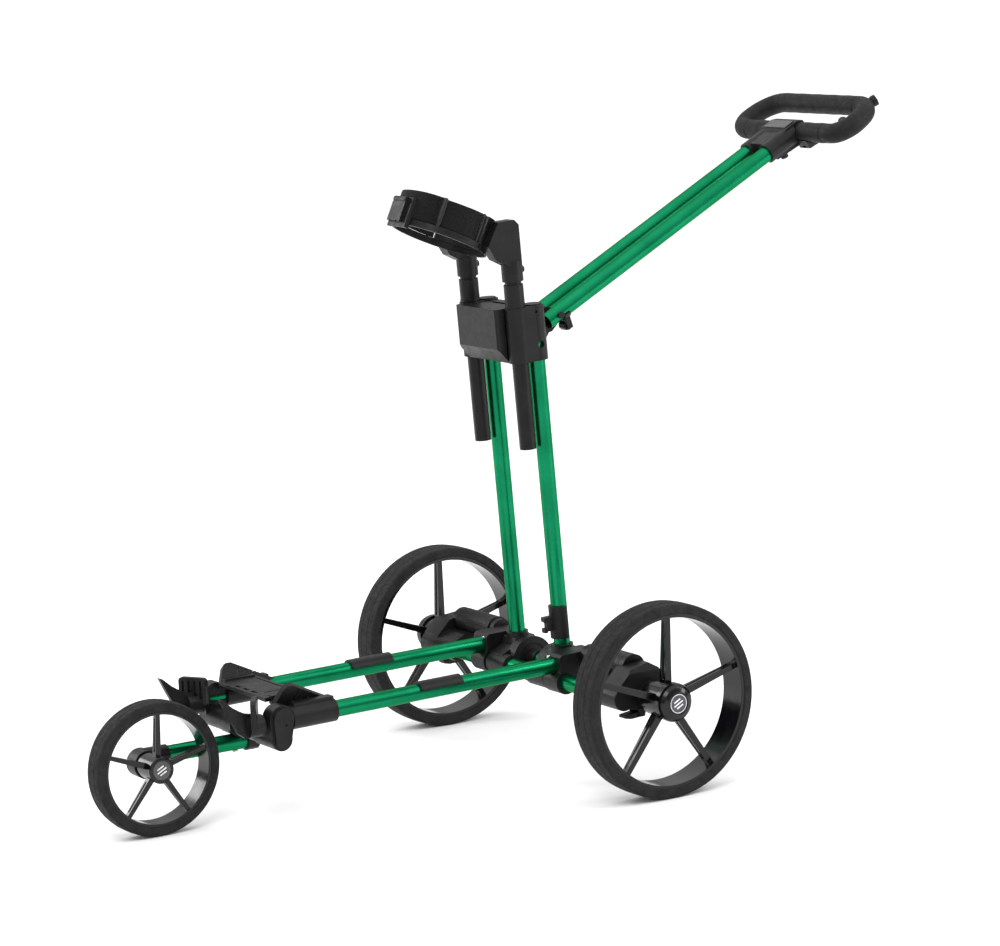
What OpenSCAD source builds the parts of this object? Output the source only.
// Three-wheeled push cart for a golf bag: a folding twin-tube frame, two large
// rear wheels, one small front wheel, a sliding bag cradle and a tilting handle.
// Millimetres, +Z up, the front wheel towards -Y, the user's right hand at +X.

/* [Frame] */
// Height of the rear axle, which is the rear wheels' radius
rear_wheel_r = 145; // [130:1:160]
// Distance from the part's origin back to the rear axle
axle_y = 96.7; // [80:0.1:120]
// Outer radius of every frame tube
tube_r = 12.5; // [10:0.5:14]
// Distance of each lower tube from the middle
lower_x = 103; // [98:1:110]
// Distance of each mast tube from the middle
mast_x = 64.3; // [60:0.1:70]
// Forward lean of the mast in degrees
mast_lean = 3; // [0:0.5:6]
// Length of the mast tubes
mast_len = 528; // [480:1:560]

/* [Wheels] */
// Distance from the middle to each rear wheel's outer face
rear_face_x = 340.5; // [330:0.5:360]
// Width of each rear wheel
rear_wheel_w = 49; // [40:1:55]
// Radius of the front wheel
front_wheel_r = 99; // [85:1:105]
// Width of the front wheel
front_wheel_w = 37; // [30:1:40]
// Distance from the rear axle to the front axle
wheelbase = 677; // [640:1:700]
// Number of spokes in each wheel
spokes = 5; // [4:1:7]

/* [Bag cradle] */
// Inner radius of the strap ring that holds the bag
ring_r = 70; // [60:1:80]
// Width of the strap
strap_w = 42; // [30:1:50]
// Backward lean of the bag in degrees
bag_lean = 25; // [15:1:30]

/* [Handle] */
// Rise of the handle tubes in degrees
handle_rise = 27.8; // [20:0.1:40]
// Distance of each handle tube from the middle
handle_x = 24.9; // [20:0.1:30]
// Half width of the grip loop between its tube centres
grip_half_w = 141; // [120:1:150]
// Depth of the grip loop between its tube centres
grip_depth = 77.5; // [70:0.5:90]
// Radius of the grip's foam
grip_r = 15.8; // [13:0.1:17]

/* [Hidden] */
$fn = 64;

frame_green = [0.08, 0.55, 0.33];
plastic_black = [0.17, 0.17, 0.18];
gloss_black = [0.07, 0.07, 0.08];
tyre_black = [0.13, 0.13, 0.13];
strap_black = [0.1, 0.1, 0.11];
steel_grey = [0.7, 0.7, 0.72];
badge_grey = [0.45, 0.46, 0.48];

running = 0.05;
gap = 0.4;
tube_wall = 1.5;

// The fold axis of the mast is the axle tube's axis
axle_tube_y = -44;
axle_tube_z = 145.5;
axle_tube_x = 277;
// The mast's tubes start behind the fold axis
mast_y = -9.9;
mast_z = 154;
foot_x0 = 47;
foot_x1 = 82;
hub_x0 = 86;
hub_x1 = 124;
lower_z = 162;
lower_front_y = -535;
lower_back_y = -30;
lower_rise = 1;
lever_y = -8;
lever_z = 117;
hub_front_y = -55;
canister_y = -2;
canister_z = 181.5;
canister_x1 = 244;

// Front end
cross_y = -526;
cross_z = 135;
fork_x = -33.5;
fork_drop = 28.5;
horn_x = 96;
horn_z = 158;

// Mast block, in the mast's own frame
post_y = -29.3;
block_z0 = 477;
block_z1 = 560;
post_z0 = 345;
post_z1 = 628;
sleeve_r = 17;
cradle_z = 600;
strap_end_y = 30;
liner_z = -31.5;
liner_w = 10.2;
hinge_y = 28;
hinge_z = 688.7;
head_y = 455;
grip_y = 524.6;
grip_z = -2.5;
grip_dip = 1.5;
tube_end_y = 486;
knob_y = 7;
knob_z = -24.5;
hinge_clear = 33.4;
grip_taper = 8;
front_bend = 29;
back_bend = 42;
grip_angle = atan2(grip_taper, grip_depth);
front_reach = front_bend * tan((90 + grip_angle) / 2);
back_reach = back_bend * tan((90 - grip_angle) / 2);
front_x = grip_half_w - front_reach;
back_x = grip_half_w - grip_taper - back_reach;

module side(s) {
    if (s < 0) mirror([1, 0, 0]) children();
    else children();
}

module cart() {
    translate([0, axle_y, 0]) children();
}

module in_mast() {
    cart() translate([0, mast_y, mast_z]) rotate([mast_lean, 0, 0]) children();
}

module in_handle() {
    cart() translate([0, hinge_y, hinge_z]) rotate([handle_rise, 0, 0]) children();
}

module in_grip() {
    in_handle() translate([0, grip_y, grip_z]) rotate([grip_dip, 0, 0]) children();
}

// The lower tubes rise slightly towards the rear
module in_lower() {
    cart() translate([0, lower_front_y, lower_z]) rotate([lower_rise, 0, 0]) children();
}

// The strap ring's own frame: its axis is the bag's axis
module in_ring() {
    in_mast() translate([0, -98.5, 697]) rotate([-mast_lean - bag_lean, 0, 0]) children();
}

module along_x(x0, x1, y, z, r) {
    translate([x0, y, z]) rotate([0, 90, 0]) cylinder(r = r, h = x1 - x0);
}

module along_y(x, y0, y1, z, r) {
    translate([x, y0, z]) rotate([-90, 0, 0]) cylinder(r = r, h = y1 - y0);
}

// A plate whose outline lies in the YZ plane, from x0 to x1
module plate_x(x0, x1, outline) {
    translate([x0, 0, 0]) rotate([90, 0, 90]) linear_extrude(x1 - x0) polygon(outline);
}

module tube(length, r, wall) {
    difference() {
        cylinder(r = r, h = length);
        translate([0, 0, -1]) cylinder(r = r - wall, h = length + 2);
    }
}

// ---- Base frame ----

module lower_tube(s) {
    color(frame_green) side(s) in_lower() translate([lower_x, 0, 0]) rotate([-90, 0, 0])
        tube(lower_back_y - lower_front_y, tube_r, tube_wall);
}

module axle_tube() {
    color(frame_green) cart() translate([-axle_tube_x, axle_tube_y, axle_tube_z]) rotate([0, 90, 0])
        tube(2 * axle_tube_x, tube_r, tube_wall);
}

module front_cross_tube() {
    reach = 114;
    color(frame_green) cart() translate([-reach, cross_y, cross_z]) rotate([0, 90, 0])
        tube(2 * reach, tube_r, tube_wall);
}

// Joins a lower tube's rear end to the axle tube, beside the mast's foot
module rear_hub(s) {
    top_z = 188;
    socket_back = lower_back_y + gap;
    color(plastic_black) side(s) difference() {
        cart() union() {
            plate_x(hub_x0, hub_x1, [[-60, 150], [hub_front_y, 158], [hub_front_y, top_z - 4],
                [-51, top_z], [8, top_z + 2], [30, 176], [36, 160], [30, 140], [8, 130], [-44, 128]]);
            along_x(hub_x0, hub_x1, axle_tube_y, axle_tube_z, 18.5);
        }
        in_lower() translate([lower_x, 0, 0]) rotate([-90, 0, 0])
            cylinder(r = tube_r, h = socket_back - lower_front_y);
        cart() along_x(hub_x0 - 1, hub_x1 + 1, axle_tube_y, axle_tube_z, tube_r);
        cart() plate_x(hub_x1 - 5, hub_x1 + 1, [[-22, 150], [-22, 176], [12, 176], [18, 158], [10, 142]]);
    }
}

// Holds a rear wheel's stub axle behind the axle tube
module carrier(s) {
    boss_x0 = 246;
    boss_x1 = 284;
    color(plastic_black) side(s) cart() difference() {
        union() {
            along_x(188, 280, axle_tube_y, axle_tube_z, 17.5);
            along_x(boss_x0, boss_x1, 0, rear_wheel_r, 21);
            plate_x(238, 280, [[-60, 150], [-52, 164], [-30, 186], [8, 192], [20, 184],
                [21, 140], [0, 124], [-44, 129.5]]);
            plate_x(188, 240, [[-56, 142], [-50, 162], [-34, 170], [14, 170], [16, 150], [-30, 134]]);
            for (x = [246, 268.4]) plate_x(x, x + 3.6, [[lever_y - 8, 129], [lever_y - 4, lever_z - 4],
                [lever_y + 4, lever_z - 4], [lever_y + 8, 127]]);
            along_x(248, 270, lever_y, lever_z, 2);
        }
        along_x(180, axle_tube_x + gap, axle_tube_y, axle_tube_z, tube_r);
        along_x(boss_x0 - 10, boss_x1 + 1, 0, rear_wheel_r, 6);
        translate([262, -80, 196]) rotate([0, 38, 0]) cube([60, 120, 40]);
        along_x(180, canister_x1 + 0.5, canister_y, canister_z, 20.3);
    }
}

// Cylinder on each wheel carrier that houses the parking brake's spring
module canisters() {
    for (s = [1, -1]) color(plastic_black) side(s) cart() difference() {
        union() {
            along_x(138, canister_x1, canister_y, canister_z, 20);
            along_x(126, 138, canister_y, canister_z, 17.5);
            along_x(229, 232, canister_y, canister_z, 20.2);
        }
        translate([150, canister_y - 24, canister_z + 7]) cube([62, 6, 2.2]);
    }
}

module wheel_axles() {
    for (s = [1, -1]) color(steel_grey) side(s) cart() {
        along_x(240, 338, 0, rear_wheel_r, 6);
        along_x(284.4, 288.6, 0, rear_wheel_r, 9);
    }
}

// Thumb lever under each carrier that frees the wheel
module release_lever(s) {
    x0 = 250;
    color(plastic_black) side(s) cart() difference() {
        union() {
            along_x(x0, x0 + 18, lever_y, lever_z, 5);
            plate_x(x0, x0 + 18, [[lever_y, lever_z + 4.4], [lever_y, lever_z - 5],
                [lever_y - 18, lever_z - 6], [lever_y - 28, lever_z - 4], [lever_y - 27, lever_z],
                [lever_y - 12, lever_z + 2]]);
        }
        along_x(x0 - 1, x0 + 19, lever_y, lever_z, 2 + running);
    }
}

// Sleeve on a lower tube's front end, with an oblong knuckle for the cross tube
module base_clamp(s) {
    knuckle_x0 = 91;
    knuckle_x1 = 120;
    flange_x = 115;
    sleeve_back = 101;
    color(plastic_black) side(s) difference() {
        union() {
            in_lower() translate([lower_x, 28, 0]) rotate([-90, 0, 0])
                cylinder(r = 17.5, h = sleeve_back - 28);
            cart() along_x(54, flange_x, cross_y, cross_z, 16.5);
            cart() along_x(knuckle_x0, flange_x, cross_y + 2, lower_z + 3, 20.5);
            cart() along_x(flange_x, knuckle_x1, cross_y + 2, lower_z + 3, 16.5);
            cart() along_x(flange_x, knuckle_x1, cross_y, cross_z, 12.5);
            cart() plate_x(knuckle_x0, flange_x, [[cross_y - 16, cross_z], [cross_y - 18.5, lower_z + 3],
                [cross_y + 22.5, lower_z + 3], [cross_y + 16, cross_z]]);
            cart() plate_x(flange_x, knuckle_x1, [[cross_y - 12, cross_z], [cross_y - 14.5, lower_z + 3],
                [cross_y + 18.5, lower_z + 3], [cross_y + 12, cross_z]]);
            in_lower() translate([lower_x - 12, 34, 8]) cube([17, 66, 13]);
        }
        in_lower() translate([lower_x, 0, 0]) rotate([-90, 0, 0])
            cylinder(r = tube_r, h = sleeve_back + 10);
        cart() along_x(50, 114, cross_y, cross_z, tube_r);
        cart() along_y(horn_x, cross_y - 40, lower_front_y - 2, horn_z, 7.05);
        cart() along_x(knuckle_x1 - 3, knuckle_x1 + 1, cross_y + 5, 157, 1.6);
    }
}

// Flat bridge across the front ends, which the bag's base rests on
module base_bridge() {
    top_z = 190;
    color(plastic_black) cart() difference() {
        union() {
            translate([-72, -528, top_z - 6]) cube([144, 62, 6]);
            translate([-38, -512, top_z - 1]) cube([76, 34, 1.6]);
            for (s = [1, -1]) side(s) translate([68, -520, 180]) cube([10, 50, 13]);
            along_x(fork_x + 20.5, 53.5, cross_y, cross_z, 15);
        }
        along_x(fork_x + 19, 55, cross_y, cross_z, tube_r);
        for (x = [-24, 0, 24]) translate([x - 8, -524, top_z - 2]) cube([16, 7, 4]);
        translate([-60, -474, top_z - 10]) cube([120, 3, 12]);
    }
}

// Slanted pads beside the bridge that cup the bag
module wing_pads() {
    color(plastic_black) for (s = [1, -1]) side(s) cart() translate([78.4, 0, 180]) rotate([0, 24, 0])
        difference() {
            plate_x(0, 9, [[-524, 0], [-512, 28], [-505, 35], [-497, 35], [-432, 0]]);
            for (i = [0:2]) translate([-1, -494 + 13 * i, 9]) rotate([-20, 0, 0])
                cube([11, 2.4, 19 - 5 * i]);
        }
}

module bumper_pads() {
    color(plastic_black) for (s = [1, -1]) side(s) in_lower() difference() {
        translate([lower_x, 243, 0]) rotate([-90, 0, 0]) cylinder(r = 16, h = 72);
        translate([lower_x, 240, 0]) rotate([-90, 0, 0]) cylinder(r = tube_r, h = 80);
        translate([lower_x - 20, 240, -20]) cube([40, 80, 24]);
        translate([lower_x - 20, 236, 10]) rotate([35, 0, 0]) cube([40, 8, 20]);
        for (y = [256, 302]) translate([lower_x, y, 12]) cylinder(r = 3.4, h = 8);
    }
}

// Pan-head screws of the bumper pads and the hub's clamp screws
module frame_screws() {
    color(steel_grey) for (s = [1, -1]) side(s) {
        in_lower() for (y = [256, 302]) translate([lower_x, y, tube_r + 0.1]) cylinder(r = 3.3, h = 2.2);
        cart() along_y(lower_x - 9, hub_front_y - 3, hub_front_y, 182.5, 2.4);
    }
}

// Bag hook in front of each base clamp: a pointed prong and a ribbed paddle
module horn(s) {
    prong_t = 9;
    root_y = -559;
    turn = -32;
    color(plastic_black) side(s) cart() difference() {
        union() {
            along_y(horn_x, -573, -548.8, horn_z, 16);
            along_y(horn_x, -549.2, -538, horn_z, 7);
            plate_x(horn_x - prong_t / 2, horn_x + prong_t / 2,
                [[-556, 144], [-578, 143], [-588, 151], [-603, 180], [-615, 205], [-611, 204],
                 [-596, 191], [-577, 179], [-562, 176], [-556, 172]]);
            translate([horn_x, root_y, horn_z + 4]) rotate([0, 0, turn]) translate([-23, -4, 0]) {
                translate([0, 0, -4]) cube([46, 8, 34]);
                translate([6, 0, 30]) cube([34, 8, 6]);
                for (x = [6, 40]) translate([x, 8, 30]) rotate([90, 0, 0]) cylinder(r = 6, h = 8);
            }
        }
        translate([horn_x, root_y, horn_z + 4]) rotate([0, 0, turn]) for (x = [-15, -5, 5, 15])
            translate([x - 2.2, -6, 4]) cube([4.4, 4.5, 27]);
        along_y(horn_x, -580, -570, horn_z, 3);
    }
}

// ---- Front fork and front wheel ----

module fork_knuckle() {
    color(plastic_black) cart() difference() {
        union() {
            along_x(fork_x - 19, fork_x + 19, cross_y, cross_z, 17.5);
            along_y(fork_x, -512, -493, cross_z - fork_drop, 15.5);
            along_y(fork_x, -493, -489, cross_z - fork_drop, 11);
            plate_x(fork_x - 12, fork_x + 12, [[-530, cross_z - 8], [-512, cross_z - 36], [-495, cross_z - 34],
                [-495, cross_z - 14], [-511, cross_z + 2]]);
        }
        along_x(fork_x - 20, fork_x + 20, cross_y, cross_z, tube_r + running);
        along_y(fork_x, -560, -495, cross_z - fork_drop, tube_r);
    }
}

module fork_tube() {
    color(frame_green) cart() translate([fork_x, -661, cross_z - fork_drop]) rotate([-90, 0, 0])
        tube(166, tube_r, tube_wall);
}

module fork_hub() {
    color(plastic_black) cart() difference() {
        union() {
            along_x(-48, -20.3, -wheelbase, front_wheel_r, 21);
            along_y(fork_x, -678, -640, cross_z - fork_drop, 15);
        }
        along_y(fork_x, -661, -630, cross_z - fork_drop, tube_r);
        along_x(-50, -19, -wheelbase, front_wheel_r, 5);
        along_x(-50, -48, -wheelbase, front_wheel_r, 9);
        along_x(-20.3, -17, -wheelbase, front_wheel_r, 24);
    }
}

module front_axle() {
    color(steel_grey) cart() {
        along_x(-50, 19, -wheelbase, front_wheel_r, 5);
        along_x(-53, -48, -wheelbase, front_wheel_r, 8.5);
    }
}

module fork_bolt() {
    head = 2.4;
    color(steel_grey) cart() translate([fork_x, -528, cross_z - fork_drop - tube_r - head])
        cylinder(r = 4.4, h = head);
}

// Foam tyre with a crowned tread and two shallow grooves
module tyre(r, w, bead_r) {
    edge = 3.5;
    half = w / 2;
    rotate([0, 90, 0]) translate([0, 0, -half]) rotate_extrude($fn = 96) difference() {
        polygon([[bead_r, edge * 0.4], [bead_r + edge * 0.4, 0], [r - edge - 1.2, 0], [r - 1.9, 1],
            [r - 0.8, edge], [r, half * 0.6], [r, w - half * 0.6], [r - 0.8, w - edge], [r - 1.9, w - 1],
            [r - edge - 1.2, w], [bead_r + edge * 0.4, w], [bead_r, w - edge * 0.4]]);
        for (k = [0.33, 0.67]) translate([r - 0.5, w * k - 0.6]) square([2, 1.2]);
    }
}

// Rim with a channel for the tyre and one deep, grooved spoke for each pitch
module rim(r, w, hub_r, hub_w0, hub_w1, bore_r, phase, rim_t, spoke_w, spoke_d) {
    spoke_x0 = hub_w1 - 5 - spoke_d;
    rim_x0 = spoke_x0 + spoke_d * 0.3;
    difference() {
        union() {
            rotate([0, 90, 0]) translate([0, 0, -w / 2 + 1.4]) rotate_extrude($fn = 96)
                polygon([[r - rim_t, 0], [r, 0], [r, w - 2.8], [r - rim_t, w - 2.8]]);
            along_x(hub_w0, hub_w1, 0, 0, hub_r);
            for (i = [0:spokes - 1]) rotate([phase + i * 360 / spokes, 0, 0]) difference() {
                intersection() {
                    rotate([90, 0, 90]) translate([0, 0, spoke_x0]) linear_extrude(spoke_d)
                        polygon([[hub_r - 6, -spoke_w * 0.62], [r - rim_t / 2, -spoke_w * 0.45],
                            [r - rim_t / 2, spoke_w * 0.45], [hub_r - 6, spoke_w * 0.62]]);
                    translate([0, 0, -spoke_w]) linear_extrude(2 * spoke_w)
                        polygon([[spoke_x0, hub_r - 8], [rim_x0, r], [spoke_x0 + spoke_d, r],
                            [spoke_x0 + spoke_d, hub_r - 8]]);
                }
                for (k = [-1, 1]) translate([spoke_x0 + spoke_d * 0.44, hub_r + 6, k * spoke_w * 0.5 - 1.2])
                    cube([spoke_d * 0.28, r - rim_t - hub_r - 12, 2.4]);
            }
        }
        along_x(hub_w0 - 1, hub_w1 + 1, 0, 0, bore_r);
    }
}

module bearing(x0, x1, bore_r, outer_r) {
    difference() {
        along_x(x0, x1, 0, 0, outer_r);
        along_x(x0 - 1, x1 + 1, 0, 0, bore_r);
    }
}

module at_front_wheel() {
    cart() translate([0, -wheelbase, front_wheel_r]) children();
}

module at_rear_wheel(s) {
    side(s) cart() translate([rear_face_x - rear_wheel_w / 2, 0, rear_wheel_r]) children();
}

module front_tyre() {
    color(tyre_black) at_front_wheel() tyre(front_wheel_r, front_wheel_w, front_wheel_r - 14.8);
}

module front_rim() {
    color(gloss_black) at_front_wheel()
        rim(front_wheel_r - 14.8, front_wheel_w, 19, -19.4, 20, 11, 87, 4, 7, 12);
}

module front_bearings() {
    color(steel_grey) at_front_wheel() for (x = [-18, 9])
        bearing(x, x + 7, 5 + running, 11);
}

module front_cap() {
    color(plastic_black) at_front_wheel() rotate([0, 90, 0]) rotate_extrude()
        polygon([[0, 19.2], [10.8, 19.2], [10.8, 20.2], [19.6, 20.2], [19.6, 24.5], [18.4, 26], [16, 26.4],
            [15, 25.6], [0, 25.6]]);
}

module rear_tyre(s) {
    color(tyre_black) at_rear_wheel(s) tyre(rear_wheel_r, rear_wheel_w, rear_wheel_r - 15.4);
}

module rear_rim(s) {
    color(gloss_black) at_rear_wheel(s)
        rim(rear_wheel_r - 15.4, rear_wheel_w, 26, -21, 19, 14, 88, 5, 9, 16);
}

module rear_bearings(s) {
    color(steel_grey) at_rear_wheel(s) for (x = [-20, 6])
        bearing(x, x + 9, 6 + running, 14);
}

module rear_cap(s) {
    color(gloss_black) at_rear_wheel(s) rotate([0, 90, 0]) rotate_extrude()
        polygon([[0, 22.4], [13.5, 22.4], [13.5, 19.2], [29, 19.2], [29, 29], [27.4, 33.5], [23.5, 37.5],
            [17, 39.5], [16.4, 39.5], [16.4, 38.7], [15, 38.7], [15, 39.5], [0, 39.5]]);
}

// ---- Mast ----

// Foot of a mast tube, which turns on the axle tube
module mast_foot(s) {
    color(plastic_black) side(s) difference() {
        union() {
            cart() along_x(32, foot_x1, axle_tube_y, axle_tube_z, 17);
            cart() along_x(8, foot_x0, mast_y + 4, mast_z, 15);
            in_mast() translate([mast_x, 0, -18]) cylinder(r = 17, h = 56);
            cart() plate_x(foot_x0, foot_x1, [[-52, 162], [-30, 172], [-26, 184], [8, 186],
                [16, 166], [12, 134], [0, 126], [-44, 129]]);
            cart() along_x(31, foot_x0 + 4, -6, 152, 35);
        }
        cart() along_x(20, foot_x1 + 10, axle_tube_y, axle_tube_z, tube_r + running);
        in_mast() translate([mast_x, 0, -2]) cylinder(r = tube_r, h = 60);
        cart() along_x(7, foot_x0 + 1, mast_y + 4, mast_z, tube_r);
        cart() difference() {
            along_x(29, 33, -6, 152, 24);
            along_x(28, 34, mast_y + 4, mast_z, 15);
        }
    }
}

module mast_tie_tube() {
    color(frame_green) cart() translate([-foot_x0 - 1, mast_y + 4, mast_z]) rotate([0, 90, 0])
        tube(2 * foot_x0 + 2, tube_r, tube_wall);
}

module mast_tube(s) {
    color(frame_green) side(s) in_mast() translate([mast_x, 0, -2]) tube(mast_len, tube_r, tube_wall);
}

// Snap-on hook that holds the folded cart together
module transport_clip() {
    color(plastic_black) in_mast() translate([mast_x, 0, 48]) difference() {
        union() {
            cylinder(r = 16.5, h = 50);
            translate([-5, -27, 14]) cube([10, 14, 22]);
            translate([-5, -31, 29]) cube([10, 8, 7]);
            translate([-5, -31, 12]) cube([10, 5, 7]);
        }
        translate([0, 0, -1]) cylinder(r = tube_r, h = 52);
        translate([-20, 4, -1]) cube([40, 20, 52]);
        translate([-6, -34, 19]) cube([12, 8, 7]);
    }
}

// Two mast sockets and two post sleeves in one moulding, with the handle's hinge
module mast_block() {
    h = block_z1 - block_z0;
    color(plastic_black) difference() {
        union() {
            in_mast() translate([0, 0, block_z0]) {
                for (s = [1, -1]) side(s) {
                    translate([mast_x, 0, 0]) cylinder(r = 17.5, h = h);
                    translate([mast_x, post_y, 0]) cylinder(r = sleeve_r, h = h);
                    translate([mast_x, 0, h]) cylinder(r = 14, h = 2);
                    translate([mast_x - 13, post_y, 0]) cube([29.8, -post_y, h]);
                }
                translate([-mast_x, post_y - 10, 2]) cube([2 * mast_x, 22 - post_y, h - 4]);
            }
            cart() plate_x(-40, 40, [[-22, 708], [-2, 706], [8, 698], [14, 680], [0, 658], [-22, 660]]);
            cart() plate_x(-12, 12, [[-12, 698], [20, 700], [30, 698], [38, 691], [42, 682], [38, 672],
                [28, 662], [10, 658], [-12, 658]]);
        }
        in_mast() for (s = [1, -1]) side(s) {
            translate([mast_x, 0, block_z0 - 1]) cylinder(r = tube_r, h = 50);
            translate([mast_x, post_y, block_z0 - 1]) cylinder(r = tube_r + running, h = h + 2);
            translate([mast_x, 0, block_z0 + 24]) rotate([0, 90, 0]) cylinder(r = 5.2, h = 40);
            translate([mast_x + 14.5, -4, block_z0 + 74]) rotate([0, 90, 0]) cylinder(r = 2.4, h = 5);
        }
        cart() along_x(-14, 14, hinge_y, hinge_z, 4 + running);
        for (s = [1, -1]) side(s) cart() along_x(12, 41.6, hinge_y, hinge_z, hinge_clear);
        in_mast() translate([-38, -12, block_z0 + 8]) cube([76, 8, h + 6]);
    }
}

// Front shell of the block
module block_cover() {
    h = block_z1 - block_z0;
    color(plastic_black) in_mast() translate([0, 0, block_z0]) difference() {
        linear_extrude(h) polygon([[-50, -39.6], [-58, -46], [-58, -57], [-54, -61], [54, -61], [58, -57],
            [58, -46], [50, -39.6]]);
        plate_x(-60, 60, [[-62, -1], [-43, -1], [-62, 24]]);
        for (s = [1, -1]) translate([s * mast_x, post_y, -1]) cylinder(r = sleeve_r + 0.3, h = h + 2);
    }
}

// Friction collars on top of the post sleeves
module slide_collars() {
    color(plastic_black) in_mast() for (s = [1, -1]) translate([s * mast_x, post_y, block_z1]) difference() {
        union() {
            cylinder(r = 15.5, h = 4);
            translate([0, 0, 4]) cylinder(r = 14.8, h = 31);
        }
        translate([0, 0, -1]) cylinder(r = tube_r + running, h = 40);
    }
}

// ---- Bag cradle ----

module posts() {
    color(plastic_black) for (s = [1, -1]) side(s) in_mast() translate([mast_x, post_y, post_z0])
        difference() {
            cylinder(r = tube_r, h = post_z1 - post_z0);
            translate([0, 0, -1]) cylinder(r = tube_r - 2, h = 280);
        }
}

// Saddle behind the bag, with an arm down to each post
module bag_cradle() {
    color(plastic_black) difference() {
        union() {
            in_ring() cylinder(r = ring_r + 4, h = strap_w, center = true);
            in_ring() translate([0, 0, liner_z]) cylinder(r = ring_r + 5.2, h = liner_w + 1);
            for (s = [1, -1]) side(s) in_mast() {
                translate([mast_x, post_y, cradle_z]) cylinder(r = 16, h = 30);
                plate_x(56, mast_x + 13, [[post_y - 14, 625], [post_y + 11, 622], [post_y + 11, 684],
                    [post_y + 4, 692], [post_y - 24, 692], [post_y - 45, 658], [post_y - 33, 636]]);
                translate([mast_x, post_y + 14, 616]) rotate([-90, 0, 0]) cylinder(r = 5, h = 5);
            }
        }
        in_ring() cylinder(r = ring_r, h = 3 * strap_w, center = true);
        in_ring() translate([0, 0, -3 * strap_w / 2]) cylinder(r = ring_r + 2, h = strap_w);
        in_ring() translate([-100, strap_end_y - 150, -40]) cube([200, 150, 80]);
        for (s = [1, -1]) side(s) in_mast() translate([mast_x, post_y, 590])
            cylinder(r = tube_r, h = post_z1 - 590);
    }
}

// Webbing band round the front of the bag
module bag_strap() {
    color(strap_black) in_ring() difference() {
        cylinder(r = ring_r + 3.2, h = strap_w, center = true);
        cylinder(r = ring_r, h = 60, center = true);
        translate([-100, strap_end_y, -40]) cube([200, 120, 80]);
    }
}

// Smooth moulded lip below the strap, from one arm round to the other
module strap_liner() {
    lip_r = ring_r + 1.2;
    color(plastic_black) in_ring() difference() {
        union() {
            translate([0, 0, liner_z]) cylinder(r = lip_r + 2.6, h = liner_w);
            translate([0, 0, liner_z]) cylinder(r = lip_r + 4, h = 3);
        }
        translate([0, 0, -60]) cylinder(r = lip_r, h = 120);
        translate([-100, strap_end_y, -60]) cube([200, 120, 120]);
    }
}

// Folded buckle at the strap's front, with its lever and two pins
module strap_buckle() {
    face = -ring_r - 3.2;
    color(strap_black) in_ring() difference() {
        union() {
            translate([-23.6, face - 5, -37]) cube([50, 9, 46]);
            translate([-20, face - 10.5, -30]) cube([36, 6, 30]);
            translate([-18, face - 8, 4]) rotate([0, 90, 0]) cylinder(r = 4.5, h = 34);
        }
        translate([0, 0, -60]) cylinder(r = ring_r + 3.2, h = 120);
        translate([0, 0, -60]) cylinder(r = ring_r + 5.4, h = 60 - strap_w / 2);
        for (x = [-10, 6]) translate([x, face - 7, -31]) rotate([90, 0, 0]) cylinder(r = 2.2, h = 6);
    }
}

// ---- Handle ----

module handle_tube(s) {
    color(frame_green) side(s) in_handle() difference() {
        translate([handle_x, -20, 0]) rotate([-90, 0, 0]) tube(tube_end_y + 20, tube_r, tube_wall);
        along_x(handle_x - 20, handle_x + 20, 0, 0, 4 + running);
    }
}

module handle_pin() {
    color(plastic_black) in_handle() {
        along_x(-39, 39, 0, 0, 4);
        for (s = [1, -1]) side(s) along_x(38.2, 41, 0, 0, 5.5);
    }
}

// Bracket that joins the handle tubes to the grip loop
module handle_head() {
    color(plastic_black) in_handle() difference() {
        union() {
            for (s = [1, -1]) side(s) along_y(handle_x, head_y, grip_y - 10, 0, 16);
            translate([-handle_x, head_y + 6, -14]) cube([2 * handle_x, 50, 28]);
            plate_x(-34, 34, [[head_y + 8, 13], [grip_y - 30, 14], [grip_y - 22, 17], [grip_y + 1, 17],
                [grip_y + 11, 13], [grip_y + 14, 4], [grip_y + 10, -20], [head_y + 10, -16]]);
            plate_x(34, 60, [[grip_y - 16, -8], [grip_y - 14, -23], [grip_y + 10, -25], [grip_y + 13, -14]]);
            translate([22, head_y + 30, -25]) cylinder(r = 6, h = 12);
        }
        in_grip_local() rotate([0, 90, 0]) cylinder(r = grip_r, h = 160, center = true);
        for (s = [1, -1]) side(s) along_y(handle_x, head_y - 5, tube_end_y, 0, tube_r);
        translate([42, grip_y - 30, -22]) cube([10, 60, 3.4]);
    }
}

module in_grip_local() {
    translate([0, grip_y, grip_z]) rotate([grip_dip, 0, 0]) children();
}

module badge_plate() {
    color(badge_grey) in_handle() translate([-28, grip_y - 21, 17]) cube([56, 20, 1.6]);
}

// Elbow of the grip loop: centre, start angle, sweep and bend radius
module elbow(x, y, start, sweep, bend) {
    translate([x, y, 0]) rotate([0, 0, start]) rotate_extrude(angle = sweep) translate([bend, 0])
        circle(r = grip_r);
}

// Straight runs are slightly slimmer than the bends they reach into
module grip() {
    lap = 1;
    bar_r = grip_r - 0.4;
    run = grip_depth / cos(grip_angle) - front_reach - back_reach;
    color(plastic_black) in_grip() union() {
        along_x(-front_x - lap, front_x + lap, 0, 0, bar_r);
        along_x(-back_x - lap, back_x + lap, grip_depth, 0, bar_r);
        for (s = [1, -1]) side(s) {
            elbow(front_x, front_bend, -90, 90 + grip_angle, front_bend);
            elbow(back_x, grip_depth - back_bend, grip_angle, 90 - grip_angle, back_bend);
            translate([grip_half_w - front_reach * sin(grip_angle), front_reach * cos(grip_angle), 0])
                rotate([0, 0, grip_angle]) along_y(0, -lap, run + lap, 0, bar_r);
        }
    }
}

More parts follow.
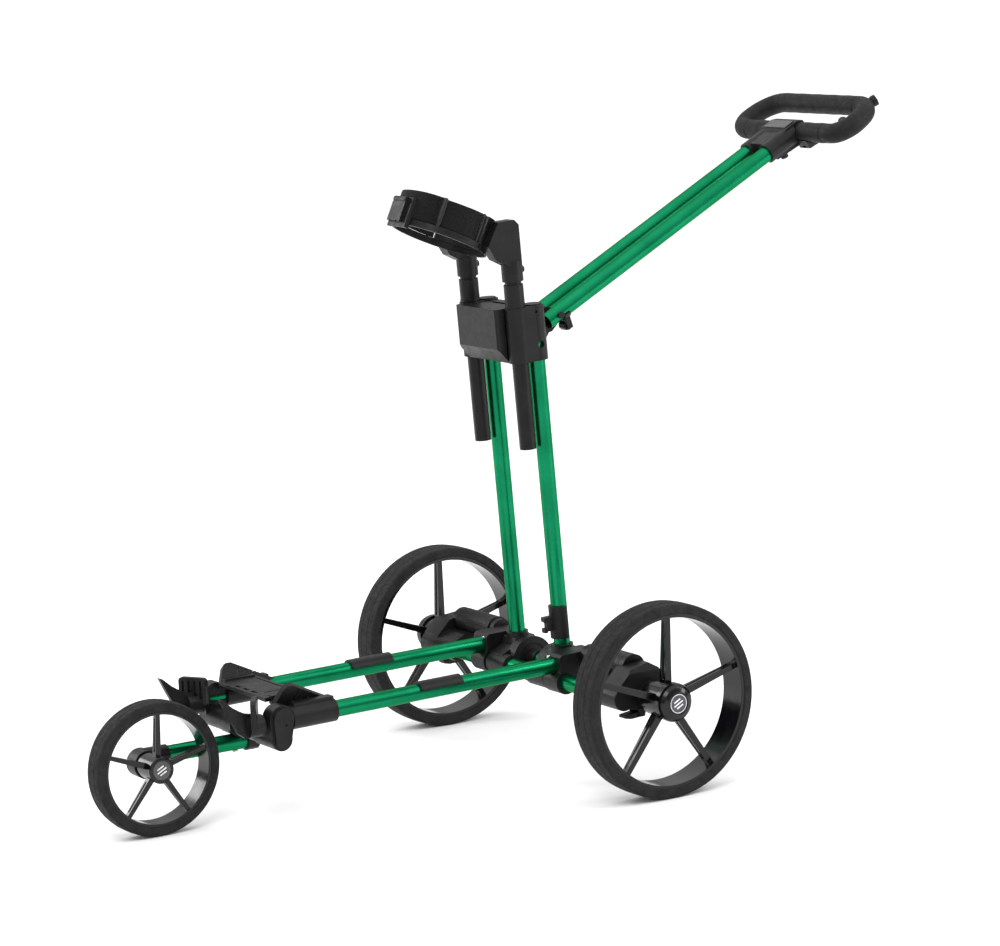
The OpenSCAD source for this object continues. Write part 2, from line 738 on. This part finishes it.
// Accessory stub at the grip's right rear corner, and the lug at its front one
module grip_stub() {
    stub_turn = -21;
    root = back_bend + grip_r + 0.5;
    color(plastic_black) in_grip() {
        translate([back_x, grip_depth - back_bend, 0]) rotate([0, 0, stub_turn]) {
            along_y(0, root - 12, root, 0, 8.2);
            along_y(0, root, root + 7, 0, 9);
        }
        translate([122, 18, 0]) rotate([0, 0, 50]) rotate([-90, 0, 0]) cylinder(r = 7.5, h = 26);
    }
}

// Saddle under the right handle tube, with an ear and a stub for the clamp knob
module knob_bracket() {
    saddle_y = 6;
    color(plastic_black) in_handle() difference() {
        union() {
            along_y(handle_x, saddle_y, saddle_y + 11, 0, 15);
            plate_x(30, 34, [[saddle_y, -8], [saddle_y + 10, -8], [knob_y + 5, knob_z - 5],
                [knob_y - 4, knob_z - 5]]);
            along_x(13.2, 30, knob_y, knob_z, 3);
        }
        along_y(handle_x, 0, saddle_y + 20, 0, tube_r);
        translate([-10, 0, -4]) cube([60, 40, 24]);
        translate([-10, 0, -16]) cube([22.4, 40, 20]);
    }
}

// Clamp knob under the handle's hinge
module handle_knob() {
    color(plastic_black) in_handle() translate([0, knob_y, knob_z]) difference() {
        union() {
            along_x(13.6, 29.4, 0, 0, 6.8);
            for (i = [0:7]) rotate([i * 45, 0, 0]) along_x(14.6, 28.4, 0, 6, 1.5);
        }
        along_x(12, 31, 0, 0, 3 + running);
    }
}

lower_tube(1);  // lower_tube_right
lower_tube(-1);  // lower_tube_left
rear_hub(1);  // rear_hub_right
rear_hub(-1);  // rear_hub_left
axle_tube();
carrier(1);  // carrier_right
carrier(-1);  // carrier_left
canisters();
wheel_axles();
base_clamp(1);  // base_clamp_right
base_clamp(-1);  // base_clamp_left
front_cross_tube();
base_bridge();
wing_pads();
bumper_pads();
frame_screws();
release_lever(1);  // release_lever_right
release_lever(-1);  // release_lever_left
horn(1);  // horn_right
horn(-1);  // horn_left
fork_knuckle();
fork_tube();
fork_hub();
front_axle();
fork_bolt();
front_tyre();
front_rim();
front_cap();
front_bearings();
rear_tyre(1);  // rear_tyre_right
rear_rim(1);  // rear_rim_right
rear_cap(1);  // rear_cap_right
rear_bearings(1);  // rear_bearings_right
rear_tyre(-1);  // rear_tyre_left
rear_rim(-1);  // rear_rim_left
rear_cap(-1);  // rear_cap_left
rear_bearings(-1);  // rear_bearings_left
mast_foot(1);  // mast_foot_right
mast_foot(-1);  // mast_foot_left
mast_tie_tube();
mast_tube(1);  // mast_tube_right
mast_tube(-1);  // mast_tube_left
transport_clip();
mast_block();
block_cover();
slide_collars();
posts();
bag_cradle();
bag_strap();
strap_liner();
strap_buckle();
handle_tube(1);  // handle_tube_right
handle_tube(-1);  // handle_tube_left
handle_pin();
handle_head();
badge_plate();
grip();
grip_stub();
knob_bracket();
handle_knob();
